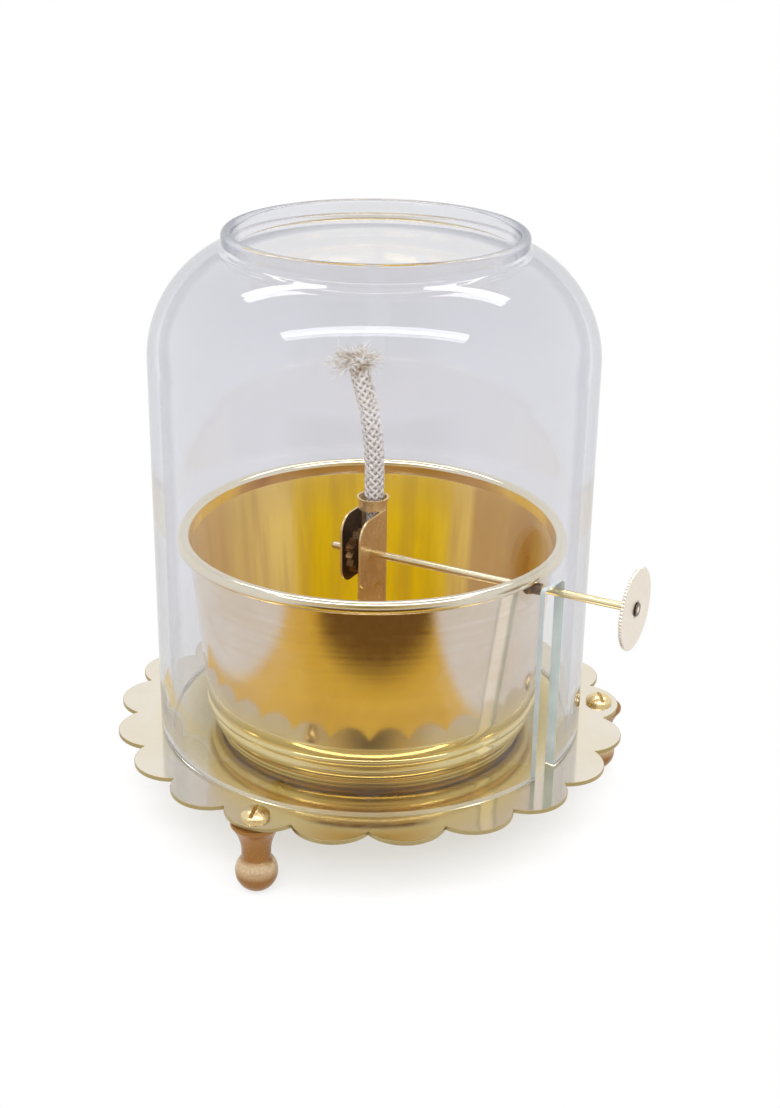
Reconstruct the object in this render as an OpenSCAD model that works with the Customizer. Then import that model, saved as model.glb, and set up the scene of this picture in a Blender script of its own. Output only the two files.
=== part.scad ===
// Standing oil lamp with a glass chimney: a spun brass bowl on a scalloped plate with three legs,
// a wick tube in the bowl, a toothed wheel that feeds the wick, and a knob on the wheel's spindle.
// Millimetres. +Z is up, z = 0 is the surface that the feet stand on, the lamp's axis is the Z axis,
// and +X runs along the spindle towards the knob.

/* [Base plate] */
// Diameter over the tips of the scallops
plate_d = 146; // [140:1:160]
// Number of scallops, a multiple of three so that each leg stands under one
scallop_n = 21; // [18:3:24]
// Radius of one scallop
scallop_r = 11.3; // [10.8:0.1:13]
// Thickness of the plate
plate_t = 1.2; // [0.8:0.1:2]

/* [Legs] */
// Distance of a leg's axis in from the tips of the scallops
leg_inset = 5.5; // [4:0.5:8]
// Direction of the first leg, in degrees from the spindle
leg_turn = 31.9; // [0:0.1:119]
// Height of a leg
leg_h = 20.2; // [18:0.1:40]
// Diameter of the flared top
leg_top_d = 13.4; // [11:0.2:16]
// Height of the straight band at the flared top
leg_band_h = 0.9; // [0.5:0.1:2]
// Diameter of the waist
leg_waist_d = 7.8; // [7:0.2:10.4]
// Height of the waist above the ball
leg_waist_h = 1.6; // [1:0.2:4]
// Diameter of the ball foot
leg_ball_d = 11.4; // [11:0.2:16]
// Diameter of the flat sole under the ball
leg_sole_d = 5; // [3:0.5:8]

/* [Leg screws] */
// Diameter of the shank
screw_d = 4; // [3:0.5:5]
// Depth of the shank in the leg
screw_grip = 12; // [6:1:14]
// Diameter of the head
screw_head_d = 7.6; // [7:0.1:11]
// Height of the head's rim
screw_rim_h = 0.8; // [0.5:0.1:1.5]
// Height of the dome above the rim
screw_dome_h = 1.7; // [1.5:0.1:3]
// Width of the driver slot
screw_slot_w = 1.1; // [0.8:0.1:1.6]
// Depth of the driver slot
screw_slot_depth = 1.3; // [0.8:0.1:1.8]

/* [Bowl] */
// Height of the rim above the plate
bowl_h = 58.4; // [48:0.4:72]
// Gap between the rolled rim and the glass round it
rim_gap = 3.2; // [2:0.1:8]
// How much less the wall's radius is just above the two rolls than at the rim
bowl_taper = 4.5; // [2:0.5:8]
// Thickness of the sheet
bowl_wall = 1; // [0.8:0.1:1.6]
// Diameter of the rolled rim
rim_roll_d = 3.6; // [2.8:0.1:4.6]
// How far the rolled rim stands out from the wall
rim_overhang = 2.9; // [2:0.1:3.2]
// Diameter of the lower roll
low_roll_d = 4.8; // [4:0.1:6.5]
// Diameter of the finer roll above it
fine_roll_d = 2.4; // [2:0.1:4]
// How far the finer roll stands out from the wall's foot
fine_overhang = 0.3; // [0.1:0.1:1.2]
// How far the lower roll stands in from the wall's foot
low_inset = 0.8; // [0.2:0.1:1.6]
// Radius of the corner between floor and wall, inside
bowl_corner_r = 8; // [6:0.5:10]

/* [Bowl foot] */
// Height of the foot ring
foot_h = 2.4; // [2:0.2:8]
// Distance of the foot ring in from the bowl's wall
foot_inset = 4.5; // [4:0.5:12]
// Thickness of the foot ring
foot_wall = 2; // [1.5:0.5:5]
// Width of the flange at the foot of the ring
foot_flange_w = 1.4; // [0.8:0.2:3]
// Thickness of that flange
foot_flange_t = 0.9; // [0.6:0.1:1.5]

/* [Bowl stud] */
// Diameter of the stud
stud_d = 4; // [3:0.5:6]
// Diameter of the stud's flange, soldered under the bowl
stud_flange_d = 16; // [12:1:24]
// Thickness of that flange
stud_flange_t = 1; // [0.8:0.1:1.6]
// Diameter of the washer under the plate
washer_d = 12; // [10:0.5:20]
// Thickness of the washer
washer_t = 1; // [0.6:0.1:2]
// Width of the nut across its flats
nut_af = 7; // [6.5:0.5:10]
// Height of the nut
nut_h = 3.2; // [2.4:0.2:5]
// How far the stud stands out of the nut
stud_end = 1.5; // [0.5:0.5:4]
// Clearance round the stud and the screws in their holes
hole_gap = 0.15; // [0.1:0.05:0.4]

/* [Wick tube] */
// Outer diameter of the tube
tube_d = 8.2; // [7.8:0.1:9.4]
// Thickness of its sheet
tube_wall = 0.6; // [0.5:0.05:0.8]
// Height of the tube's mouth above the bowl's rim
tube_rise = 7.9; // [6:0.5:20]
// How far the mouth is turned out
tube_lip = 0.4; // [0.2:0.1:0.8]
// Height of the turned-out mouth
tube_lip_h = 1.6; // [1:0.2:3]
// Height of the cheeks that hold the wheel
cheek_h = 20; // [16:0.5:21]
// Radius of the cheeks' corners
cheek_r = 5; // [2:0.5:7]
// Reach of the cheek on the knob's side past the spindle
cheek_reach = 6.6; // [5:0.2:8]
// Reach of the far cheek past the spindle
far_cheek_reach = 3.2; // [2.4:0.2:8]
// Width of the port at the tube's foot, where the wick comes in
port_w = 6.2; // [5.8:0.1:6.6]
// Height of that port
port_h = 14; // [13:0.5:18]

/* [Tube base] */
// Diameter of the base on the bowl's floor
tube_base_d = 20; // [16:1:30]
// Thickness of the base
tube_base_t = 1.2; // [0.8:0.1:2]
// Solder gap round the tube in its base
tube_fit = 0.05; // [0.02:0.01:0.2]
// Height of its collar
tube_collar_h = 5; // [3:0.5:9]
// Thickness of its collar
tube_collar_wall = 1.2; // [0.8:0.1:2]

/* [Spindle] */
// Diameter of the spindle
spindle_d = 2.2; // [1.8:0.1:2.8]
// Distance of the spindle from the lamp's axis
spindle_offset = 8; // [7.4:0.1:9]
// Running clearance round the spindle
spindle_gap = 0.05; // [0.02:0.01:0.1]
// How far the spindle stands out of the far cheek
spindle_tip = 4.4; // [2:0.2:8]
// Wall of the bush in the bowl's side
bush_wall = 0.45; // [0.35:0.05:0.8]
// Gap between the bush and the rolled rim above it
bush_seat = 0.2; // [0.1:0.1:3]
// How far the bush stands out of the bowl
bush_out = 3; // [1.5:0.5:5]
// How far the bush stands into the bowl
bush_in = 1.2; // [0.6:0.2:3]

/* [Feed wheel] */
// Number of teeth
wheel_teeth = 14; // [10:1:18]
// Depth of the teeth
tooth_depth = 1.5; // [1:0.1:2]
// Thickness of the wheel
wheel_t = 2; // [1.2:0.2:3]
// Diameter of its hub
wheel_hub_d = 4.4; // [3.8:0.2:6]
// End play of the hub between the cheeks, on each side
hub_play = 0.2; // [0.1:0.05:0.4]

/* [Knob] */
// Distance of the knob's outer face from the glass
knob_reach = 20.4; // [15:0.2:40]
// Diameter of the knob
knob_d = 22.2; // [18:0.2:30]
// Thickness of the knob
knob_t = 0.9; // [0.7:0.1:2]
// Number of fine teeth round the knob
knob_teeth = 72; // [36:4:90]
// Depth of those teeth
knob_tooth = 0.4; // [0.2:0.05:0.8]
// Diameter of the collar behind the knob
collar_d = 5.4; // [4:0.2:9]
// Length of that collar
collar_l = 1.8; // [1:0.2:5]
// Diameter of the spindle's riveted end
rivet_d = 3.6; // [3:0.2:5]
// Height of the riveted end
rivet_h = 0.5; // [0.3:0.1:1]

/* [Chimney] */
// Gap between the glass and the heads of the leg screws
screw_gap = 3.1; // [1:0.1:6]
// Thickness of the glass
glass_wall = 3; // [2:0.1:3.4]
// Height of the glass
glass_h = 140.5; // [128:0.5:180]
// Outer radius of the shoulder
shoulder_r = 32; // [24:0.5:36]
// Outer diameter of the lip
glass_lip_d = 81; // [70:0.5:90]
// Height of the lip above the shoulder
glass_lip_h = 4.4; // [3:0.2:10]
// Width of the slot for the spindle
slot_w = 9.5; // [8:0.5:12]
// Height of the slot above the spindle's axis
slot_rise = 3.2; // [2.5:0.1:8]
// Radius of the slot's two upper corners
slot_corner_r = 1.5; // [0.5:0.1:4]
// How far the glass is turned on its seat, in degrees
glass_turn = -2.5; // [-2.5:0.1:2.5]

/* [Wick] */
// Diameter of the wick in the open
wick_d = 5; // [4.6:0.1:5.2]
// Diameter of the wick where the tube squeezes it
wick_tube_d = 4.4; // [4:0.1:4.6]
// How far the wick sits behind the tube's axis, pressed by the wheel
wick_set_back = 0.7; // [0.5:0.05:0.8]
// Clearance between the wick and the wheel's teeth
wheel_gap = 0.3; // [0.2:0.05:0.5]
// Height of the wick's lowest point above the bowl's floor
wick_lift = 0.3; // [0.2:0.1:1]
// Gap in the tube between the wick that is fed and its tail, for winding the wick down
feed_gap = 10; // [9:0.5:12]

/* [Hidden] */

// Smoothness of round faces, and sides of the soft cords
$fn = 96;
cord_sides = 10;
// Overlap of cutting tools past the faces they cut
cut = 1;

leg_n = 3;
leg_angles = [for (i = [0 : leg_n - 1]) leg_turn + i * 360 / leg_n];
// Direction of each driver slot, as the screws were left
slot_angles = [131, 62, 99];

// Heights above the floor
plate_z = leg_h + plate_t;
bowl_z = plate_z + foot_h;
floor_z = bowl_z + bowl_wall;
rim_z = plate_z + bowl_h;
wall_z = bowl_z + low_roll_d + fine_roll_d;
mouth_z = rim_z + tube_rise;
bush_d = spindle_d + 2 * (spindle_gap + bush_wall);
spindle_z = rim_z - rim_roll_d - bush_seat - bush_d / 2;

// Radii and places, from the plate's edge inwards
leg_ring_r = plate_d / 2 - leg_inset;
glass_r = leg_ring_r - screw_head_d / 2 - screw_gap;
knob_x = glass_r + knob_reach;
mouth_r = glass_r - glass_wall - rim_gap - rim_overhang;
waist_r = mouth_r - bowl_taper;
foot_r = waist_r - foot_inset;
rim_roll_r = mouth_r + rim_overhang - rim_roll_d / 2;
wheel_r = spindle_offset + wick_set_back - wick_tube_d / 2 - wheel_gap;
cheek_in = tube_d / 2 - tube_wall;
slot_angle = glass_turn - asin(spindle_offset / glass_r);

// Outer radius of the bowl's wall at a height, and where the bush leaves it
function wall_r(z) = waist_r + (mouth_r - waist_r) * (z - wall_z) / (rim_z - rim_roll_d / 2 - wall_z);
bush_x = sqrt(pow(wall_r(spindle_z), 2) - pow(spindle_offset, 2));

// Routes of the wick, by hand: the standing part from the tube's mouth, the tail from the bowl's floor
standing_route = [[0, 0, -2], [0, 0, 9], [-0.5, -0.2, 17], [-1.6, -0.8, 25], [-3.2, -1.7, 33],
                  [-4.6, -2.5, 40]];
tail_route = [[0, 0, 22], [0, 0, 16], [0, 0.3, 12], [0, 2, 7], [0, 5.5, 3.2], [0.5, 10, 2], [3, 17, 2],
              [12, 25, 2], [23, 20, 2], [29, 8, 2], [29, -6, 2], [22, -19, 2], [10, -27, 2],
              [-5, -29, 2], [-18, -23, 2], [-26, -13, 2], [-29, 0, 2], [-26, 12, 2]];
route_steps = 3;
// The tail's points lie this far above the floor in the list above, and its squeezed run is above this height
tail_rest = 2;
tail_squeeze_z = 12;
tail_z = floor_z + wick_lift + wick_d / 2 - tail_rest;
// Lower end of the wick that is fed
feed_z = tail_z + tail_route[0][2] + feed_gap;

// Curves

// Point of a list, held at its ends
function held(list, i) = list[max(0, min(len(list) - 1, i))];

function unit(v) = v / norm(v);

// Point on the smooth curve from b to c, with a and d before and after them
function curve_point(a, b, c, d, t) =
    (2 * b + (c - a) * t + (2 * a - 5 * b + 4 * c - d) * t * t + (3 * b - a - 3 * c + d) * t * t * t) / 2;

// Smooth route through hand-set points
function smooth_route(list) = concat(
    [for (i = [0 : len(list) - 2], s = [0 : route_steps - 1])
        curve_point(held(list, i - 1), list[i], list[i + 1], held(list, i + 2), s / route_steps)],
    [list[len(list) - 1]]);

function heading(path, i) = unit(held(path, i + 1) - held(path, i - 1));

// One side direction for each ring, carried along the path without twisting
function sides_of(path, side, i = 0) = i == len(path) ? [] :
    let (t = heading(path, i), s = unit(side - (side * t) * t))
    concat([s], sides_of(path, s, i + 1));

// Solid cord along a path, with a radius for each ring
module cord(path, radii) {
    sides = sides_of(path, [1, 0, 0]);
    rings = len(path);
    points = [for (i = [0 : rings - 1], k = [0 : cord_sides - 1])
        let (a = 360 * k / cord_sides, s = sides[i], u = cross(heading(path, i), s))
        path[i] + radii[i] * (cos(a) * s + sin(a) * u)];
    function at(i, k) = i * cord_sides + k % cord_sides;
    walls = [for (i = [0 : rings - 2], k = [0 : cord_sides - 1], half = [0, 1])
        half == 0 ? [at(i, k), at(i + 1, k), at(i + 1, k + 1)] : [at(i, k), at(i + 1, k + 1), at(i, k + 1)]];
    first_end = [for (k = [1 : cord_sides - 2]) [at(0, 0), at(0, k), at(0, k + 1)]];
    last_end = [for (k = [1 : cord_sides - 2]) [at(rings - 1, 0), at(rings - 1, k + 1), at(rings - 1, k)]];
    polyhedron(points, concat(walls, first_end, last_end));
}

// Shared shapes

// Places its children once for each leg
module at_leg(i) {
    rotate(leg_angles[i]) translate([leg_ring_r, 0, 0]) children();
}

// Cylinder along +X from x0 to x1, on the spindle's axis
module on_spindle(x0, x1, d) {
    translate([x0, -spindle_offset, spindle_z]) rotate([0, 90, 0]) cylinder(d = d, h = x1 - x0);
}

// Ring of pointed teeth
module toothed_disc(tip_r, depth, teeth) {
    step = 180 / teeth;
    polygon([for (i = [0 : 2 * teeth - 1])
        let (r = i % 2 == 0 ? tip_r : tip_r - depth) r * [cos(i * step), sin(i * step)]]);
}

// Rectangle from the origin to a corner, with its two far corners rounded
module far_rounded(w, h, r) {
    square([w - r, h]);
    translate([0, r]) square([w, h - 2 * r]);
    translate([w - r, r]) circle(r);
    translate([w - r, h - r]) circle(r);
}

// Sub-parts

module base_plate() {
    scallop_ring_r = plate_d / 2 - scallop_r;
    color("khaki") translate([0, 0, leg_h]) linear_extrude(plate_t) difference() {
        union() {
            circle(scallop_ring_r);
            for (i = [0 : scallop_n - 1])
                rotate(leg_turn + i * 360 / scallop_n) translate([scallop_ring_r, 0]) circle(scallop_r);
        }
        for (i = [0 : leg_n - 1]) at_leg(i) circle(d = screw_d + 2 * hole_gap);
        circle(d = stud_d + 2 * hole_gap);
    }
}

module leg(i) {
    ball_r = leg_ball_d / 2;
    ball_z = sqrt(pow(ball_r, 2) - pow(leg_sole_d / 2, 2));
    waist_z = ball_z + sqrt(pow(ball_r, 2) - pow(leg_waist_d / 2, 2)) + leg_waist_h;
    flare_h = leg_h - leg_band_h - waist_z;
    flare_w = (leg_top_d - leg_waist_d) / 2;
    flare_r = (pow(flare_h, 2) + pow(flare_w, 2)) / (2 * flare_w);
    color("peru") at_leg(i) difference() {
        rotate_extrude() {
            intersection() {
                translate([0, ball_z]) circle(ball_r);
                square([ball_r, leg_h]);
            }
            translate([0, ball_z]) square([leg_waist_d / 2, leg_h - ball_z]);
            difference() {
                translate([0, waist_z]) square([leg_top_d / 2, leg_h - waist_z]);
                intersection() {
                    translate([leg_waist_d / 2 + flare_r, waist_z]) circle(flare_r);
                    translate([0, waist_z - cut]) square([leg_top_d, flare_h + cut]);
                }
            }
        }
        translate([0, 0, leg_h - screw_grip - hole_gap])
            cylinder(d = screw_d + 2 * hole_gap, h = screw_grip + hole_gap + cut);
    }
}

module leg_screws() {
    dome_r = (pow(screw_head_d / 2, 2) + pow(screw_dome_h, 2)) / (2 * screw_dome_h);
    head_h = screw_rim_h + screw_dome_h;
    color("gold") for (i = [0 : leg_n - 1]) at_leg(i) translate([0, 0, plate_z]) difference() {
        union() {
            translate([0, 0, -plate_t - screw_grip]) cylinder(d = screw_d, h = plate_t + screw_grip);
            rotate_extrude() {
                square([screw_head_d / 2, screw_rim_h]);
                intersection() {
                    translate([0, head_h - dome_r]) circle(dome_r);
                    square([screw_head_d / 2, head_h]);
                }
            }
        }
        rotate(slot_angles[i] - leg_angles[i])
            translate([-screw_head_d, -screw_slot_w / 2, head_h - screw_slot_depth])
                cube([2 * screw_head_d, screw_slot_w, screw_slot_depth + cut]);
    }
}

// Half section of the bowl's inside, up to past the rim
module bowl_hollow() {
    corner_z = floor_z + bowl_corner_r;
    corner_x = wall_r(corner_z) - bowl_wall;
    top_z = rim_z + cut;
    polygon([[0, corner_z], [corner_x, corner_z], [wall_r(top_z) - bowl_wall, top_z], [0, top_z]]);
    translate([0, floor_z]) square([corner_x - bowl_corner_r, bowl_corner_r + cut]);
    translate([corner_x - bowl_corner_r, corner_z]) circle(bowl_corner_r);
}

module bowl() {
    rim_mid_z = rim_z - rim_roll_d / 2;
    low_roll_x = waist_r - low_inset - low_roll_d / 2;
    fine_roll_x = waist_r + fine_overhang - fine_roll_d / 2;
    color("goldenrod") difference() {
        rotate_extrude() {
            difference() {
                union() {
                    polygon([[0, bowl_z], [low_roll_x, bowl_z], [fine_roll_x, wall_z - fine_roll_d],
                             [waist_r, wall_z], [mouth_r, rim_mid_z], [0, rim_mid_z]]);
                    translate([low_roll_x, bowl_z + low_roll_d / 2]) circle(d = low_roll_d);
                    translate([fine_roll_x, wall_z - fine_roll_d / 2]) circle(d = fine_roll_d);
                }
                bowl_hollow();
            }
            translate([rim_roll_r, rim_mid_z]) circle(d = rim_roll_d);
        }
        on_spindle(bush_x - 2 * bowl_wall - bush_in, bush_x + bush_out, bush_d);
    }
}

module bowl_foot() {
    color("darkgoldenrod") translate([0, 0, plate_z]) rotate_extrude() {
        translate([foot_r - foot_wall, 0]) square([foot_wall, foot_h]);
        translate([foot_r - foot_wall, 0]) square([foot_wall + foot_flange_w, foot_flange_t]);
    }
}

module bowl_stud() {
    shank_l = foot_h + plate_t + washer_t + nut_h + stud_end;
    color("darkgoldenrod") {
        translate([0, 0, bowl_z - stud_flange_t]) cylinder(d = stud_flange_d, h = stud_flange_t);
        translate([0, 0, bowl_z - shank_l]) cylinder(d = stud_d, h = shank_l - stud_flange_t / 2);
    }
}

module stud_washer() {
    color("goldenrod") translate([0, 0, leg_h - washer_t]) difference() {
        cylinder(d = washer_d, h = washer_t);
        translate([0, 0, -cut]) cylinder(d = stud_d + 2 * hole_gap, h = washer_t + 2 * cut);
    }
}

module stud_nut() {
    nut_z = leg_h - washer_t - nut_h;
    color("goldenrod") translate([0, 0, nut_z]) difference() {
        cylinder(d = nut_af / cos(30), h = nut_h, $fn = 6);
        translate([0, 0, -cut]) cylinder(d = stud_d, h = nut_h + 2 * cut);
    }
}

// Opening that lets the wick in at the tube's foot, on the side away from the wheel
module wick_port() {
    translate([-port_w / 2, 0, floor_z - cut]) cube([port_w, tube_base_d, port_h + cut - port_w / 2]);
    translate([0, 0, floor_z + port_h - port_w / 2]) rotate([-90, 0, 0])
        cylinder(d = port_w, h = tube_base_d);
}

module tube_base() {
    bore_r = tube_d / 2 + tube_fit;
    color("darkgoldenrod") difference() {
        translate([0, 0, floor_z]) rotate_extrude() {
            translate([bore_r, 0]) square([tube_base_d / 2 - bore_r, tube_base_t]);
            translate([bore_r, 0]) square([tube_collar_wall, tube_collar_h]);
        }
        wick_port();
    }
}

// One cheek of the tube's front, from the tube's side forward past the spindle
module cheek(x, reach) {
    translate([x, 0, spindle_z - cheek_h / 2]) rotate([90, 0, -90]) linear_extrude(tube_wall)
        far_rounded(spindle_offset + reach, cheek_h, cheek_r);
}

module wick_tube() {
    tube_r = tube_d / 2;
    bore_r = tube_r - tube_wall;
    color("tan") difference() {
        union() {
            difference() {
                rotate_extrude() {
                    translate([bore_r, floor_z]) square([tube_wall, mouth_z - floor_z - tube_lip_h]);
                    polygon([[bore_r, mouth_z - tube_lip_h], [tube_r, mouth_z - tube_lip_h],
                             [tube_r + tube_lip, mouth_z], [bore_r + tube_lip, mouth_z]]);
                }
                translate([-tube_d, -tube_d, spindle_z - cheek_h / 2]) cube([2 * tube_d, tube_d, cheek_h]);
                wick_port();
            }
            cheek(tube_r, cheek_reach);
            cheek(-bore_r, far_cheek_reach);
        }
        on_spindle(-tube_d, tube_d, spindle_d + 2 * spindle_gap);
    }
}

module spindle_bush() {
    x0 = bush_x - bowl_wall - bush_in;
    x1 = bush_x + bush_out;
    color("saddlebrown") difference() {
        on_spindle(x0, x1, bush_d);
        on_spindle(x0 - cut, x1 + cut, spindle_d + 2 * spindle_gap);
    }
}

module spindle() {
    tip_x = -tube_d / 2 - spindle_tip;
    color("khaki") {
        on_spindle(tip_x + spindle_d / 2, knob_x + rivet_h / 2, spindle_d);
        translate([tip_x + spindle_d / 2, -spindle_offset, spindle_z]) sphere(d = spindle_d);
        on_spindle(knob_x, knob_x + rivet_h, rivet_d);
    }
}

module feed_wheel() {
    hub_x = cheek_in - hub_play;
    color("sienna") difference() {
        union() {
            translate([-wheel_t / 2, -spindle_offset, spindle_z]) rotate([90, 0, 90])
                linear_extrude(wheel_t) toothed_disc(wheel_r, tooth_depth, wheel_teeth);
            on_spindle(-hub_x, hub_x, wheel_hub_d);
        }
        on_spindle(-hub_x - cut, hub_x + cut, spindle_d);
    }
}

module knob() {
    color("wheat") difference() {
        translate([knob_x - knob_t, -spindle_offset, spindle_z]) rotate([90, 0, 90])
            linear_extrude(knob_t) toothed_disc(knob_d / 2, knob_tooth, knob_teeth);
        on_spindle(knob_x - knob_t - cut, knob_x + cut, spindle_d);
    }
}

module knob_collar() {
    x1 = knob_x - knob_t;
    color("darkkhaki") difference() {
        on_spindle(x1 - collar_l, x1, collar_d);
        on_spindle(x1 - collar_l - cut, x1 + cut, spindle_d);
    }
}

// Half section bounded by the glass's face at a depth below its outer face
module glass_section(depth, mouth_top) {
    lip_r = glass_lip_d / 2;
    shoulder_x = glass_r - shoulder_r;
    shoulder_z = glass_h - glass_lip_h - sqrt(pow(shoulder_r, 2) - pow(lip_r - shoulder_x, 2));
    square([glass_r - depth, shoulder_z]);
    intersection() {
        translate([shoulder_x, shoulder_z]) circle(shoulder_r - depth);
        square([glass_r, glass_h]);
    }
    square([lip_r - depth, mouth_top]);
}

module chimney() {
    lip_round = glass_wall / 2;
    slot_top = spindle_z + slot_rise;
    color("lightblue", 0.3) difference() {
        translate([0, 0, plate_z]) rotate_extrude() {
            difference() {
                glass_section(0, glass_h - lip_round);
                translate([0, -cut]) square([glass_r - glass_wall, 2 * cut]);
                glass_section(glass_wall, glass_h + cut);
            }
            translate([glass_lip_d / 2 - lip_round, glass_h - lip_round]) circle(lip_round);
        }
        rotate(slot_angle) translate([glass_r / 2, slot_w / 2, plate_z - cut]) rotate([0, -90, 180])
            linear_extrude(glass_r) far_rounded(slot_top - plate_z + cut, slot_w, slot_corner_r);
    }
}

module wick() {
    route = concat([[0, wick_set_back, feed_z]],
                   [for (p = standing_route) p + [0, wick_set_back, mouth_z]]);
    path = smooth_route(route);
    radii = [for (p = path) (p[2] > mouth_z ? wick_d : wick_tube_d) / 2];
    color("antiquewhite") cord(path, radii);
}

module wick_tail() {
    route = [for (p = tail_route) p + [0, wick_set_back, tail_z]];
    path = smooth_route(route);
    radii = [for (p = path) (p[2] > tail_z + tail_squeeze_z ? wick_tube_d : wick_d) / 2];
    color("antiquewhite") cord(path, radii);
}

base_plate();
leg(0);  // leg_1
leg(1);  // leg_2
leg(2);  // leg_3
leg_screws();
bowl();
bowl_foot();
bowl_stud();
stud_washer();
stud_nut();
tube_base();
wick_tube();
spindle_bush();
spindle();
feed_wheel();
knob();
knob_collar();
chimney();
wick();
wick_tail();
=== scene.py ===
"""Dressed model of a standing brass oil lamp with a glass chimney.

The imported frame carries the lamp's rigid pieces. Each class below takes one sub-assembly, makes the
meshes that stand for its nodes and gives them their finishes. Lengths in the fields are millimetres
and become metres as a mesh is made.
"""

import logging
import random
from dataclasses import dataclass, replace
from enum import Enum
from functools import cached_property
from math import acos, asin, atan2, cos, degrees, hypot, pi, radians, sin, sqrt
from typing import Sequence

import bmesh
import bpy
from mathutils import Matrix, Vector


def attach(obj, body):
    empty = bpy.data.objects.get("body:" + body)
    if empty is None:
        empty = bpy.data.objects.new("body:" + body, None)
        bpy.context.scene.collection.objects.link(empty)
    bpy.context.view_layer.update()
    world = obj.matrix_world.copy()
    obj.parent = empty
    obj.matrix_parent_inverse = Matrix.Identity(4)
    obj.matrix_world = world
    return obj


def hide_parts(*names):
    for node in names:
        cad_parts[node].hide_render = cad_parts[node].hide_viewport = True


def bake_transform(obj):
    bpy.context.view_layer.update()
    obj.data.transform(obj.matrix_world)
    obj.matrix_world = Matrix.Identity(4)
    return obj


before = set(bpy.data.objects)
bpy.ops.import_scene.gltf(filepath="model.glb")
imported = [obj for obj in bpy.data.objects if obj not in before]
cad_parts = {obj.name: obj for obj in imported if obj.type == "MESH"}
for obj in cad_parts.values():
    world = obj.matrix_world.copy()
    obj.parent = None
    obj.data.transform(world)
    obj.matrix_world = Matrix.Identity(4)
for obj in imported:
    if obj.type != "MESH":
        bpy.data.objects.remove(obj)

LOG = logging.getLogger("lamp")
MM = 0.001
WHITE = (1.0, 1.0, 1.0)
SPINDLE = (0.0, -8.0, 74.4)
Colour = tuple[float, float, float]
Point = tuple[float, float, float]
Span = tuple[float, float]
Profile = list[Span]
Grid = list[list[Vector]]
Node = bpy.types.Node
Socket = bpy.types.NodeSocket
Number = Socket | float
Tone = Socket | Colour
Material = bpy.types.Material
Object = bpy.types.Object
Mesh = bmesh.types.BMesh


class Body(Enum):
    """The bodies of the frame that a piece can ride on."""

    LAMP = "lamp"
    FEED = "feed"
    WICK = "wick_body"
    GLASS = "glass"


class Grain(Enum):
    """How a metal surface was worked, which sets the way its fine lines run; on the inside wall, upright
    streaks of painted reflection instead.
    """

    SPUN = "rings round the lamp's axis"
    DRAWN = "lines along the spindle"
    ROLLED = "faint lines across a sheet"
    CAST = "fine pits"
    REFLECTION_STREAKS = "upright streaks of painted reflection"


class Along(Enum):
    """The measure that a tone changes along."""

    HEIGHT = "height over the floor"
    REACH = "distance from the lamp's axis"
    TURN = "turn round the lamp's axis, in degrees"


# Finishes


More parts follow.
